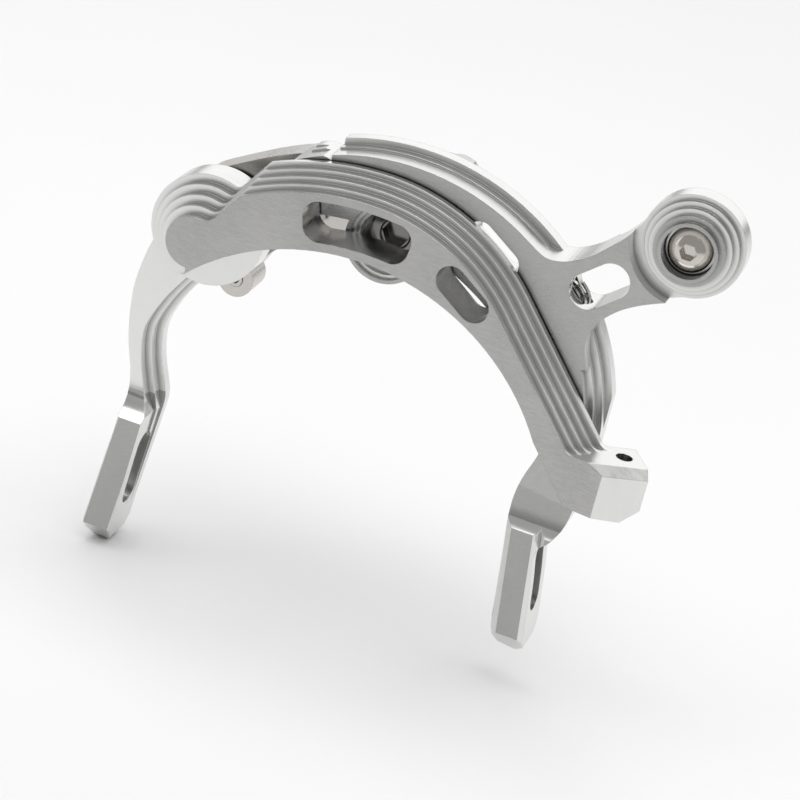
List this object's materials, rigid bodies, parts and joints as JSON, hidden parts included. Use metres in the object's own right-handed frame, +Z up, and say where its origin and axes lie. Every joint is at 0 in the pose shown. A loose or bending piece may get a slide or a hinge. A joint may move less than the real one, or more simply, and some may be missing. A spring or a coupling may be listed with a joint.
{
  "type": "rim brake caliper",
  "caption": "Dual pivot side pull rim brake caliper with stepped machined arms, an arched tyre opening, slotted pad legs, a cable stop, a pinch boss and a rear mounting bolt.",
  "frame": {"origin": "on the mounting bolt's axis, in the rear mounting face of the serrated washer", "axes": "+X to the cable side, +Y to the rear along the mounting bolt, +Z up"},
  "size_m": [0.1178, 0.064, 0.1132],
  "materials": {
    "arm_alloy": "fine brushed, satin",
    "rear_alloy": "satin",
    "steel": "polished",
    "dark_steel": "oiled",
    "spring_steel": "drawn wire",
    "bearing_bronze": "satin",
    "nylon_blue": "matt",
    "roller_plastic": "matt"
  },
  "bodies": {
    "carrier": {"bracket": "rear_alloy", "mounting_bolt": "dark_steel", "head_washer": "steel", "centre_bush": "bearing_bronze", "serrated_washer": "steel", "nut_washer": "steel", "mounting_nut": "steel", "nylon_ring": "nylon_blue", "side_bush": "bearing_bronze", "side_washer": "steel", "spring_coil": "spring_steel"},
    "front_arm": {"c_arm": "arm_alloy", "side_bolt": "dark_steel", "stop_liner": "bearing_bronze", "spring_post_c": "steel"},
    "rear_arm": {"y_arm": "arm_alloy", "link_pin": "steel", "pinch_washer": "steel", "spring_post_y": "steel", "spring_leg_y": "spring_steel"},
    "sync_roller": {"link_roller": "roller_plastic"},
    "centring": {"centring_screw": "dark_steel"},
    "cable_bolt": {"pinch_bolt": "steel"},
    "cable_clamp": {"clamp_plate": "steel", "pinch_nut": "steel"},
    "spring_arm": {"spring_leg_c": "spring_steel"}
  },
  "joints": [
    {"name": "rear_arm_pivot", "type": "hinge", "parent": "carrier", "child": "rear_arm", "pos_m": [0, 0, 0], "axis": [0, 1, 0], "range_deg": [0, 8], "stiffness_Nm_per_rad": 1.6, "springref_deg": -14.32},
    {"name": "front_arm_pivot", "type": "hinge", "parent": "carrier", "child": "front_arm", "pos_m": [-0.0355, 0, -0.009], "axis": [0, 1, 0], "range_deg": [-9.5, 0], "stiffness_Nm_per_rad": 1.6, "springref_deg": 14.32},
    {"name": "sync_roller_spin", "type": "hinge", "parent": "rear_arm", "child": "sync_roller", "pos_m": [-0.0185, 0, 0.0032], "axis": [0, 1, 0], "continuous": true},
    {"name": "centring_screw_turn", "type": "hinge", "parent": "carrier", "child": "centring", "pos_m": [-0.0312, 0, -0.0222], "axis": [0, 1, 0], "range_deg": [-180, 180]},
    {"name": "pinch_bolt_turn", "type": "hinge", "parent": "rear_arm", "child": "cable_bolt", "pos_m": [0.058, 0, 0.0185], "axis": [0, 1, 0], "range_deg": [0, 676]},
    {"name": "clamp_travel", "type": "slide", "parent": "rear_arm", "child": "cable_clamp", "axis": [0, 1, 0], "range_m": [0, 0.0015]},
    {"name": "spring_arm_swing", "type": "hinge", "parent": "carrier", "child": "spring_arm", "pos_m": [0, 0, 0], "axis": [0, 1, 0], "range_deg": [-3.2, 0]}
  ],
  "couplings": [
    {"joint": "front_arm_pivot", "follows": "rear_arm_pivot", "ratio": -1.18},
    {"joint": "spring_arm_swing", "follows": "rear_arm_pivot", "ratio": -0.39},
    {"joint": "pinch_bolt_turn", "follows": "clamp_travel", "rad_per_m": 7854}
  ]
}
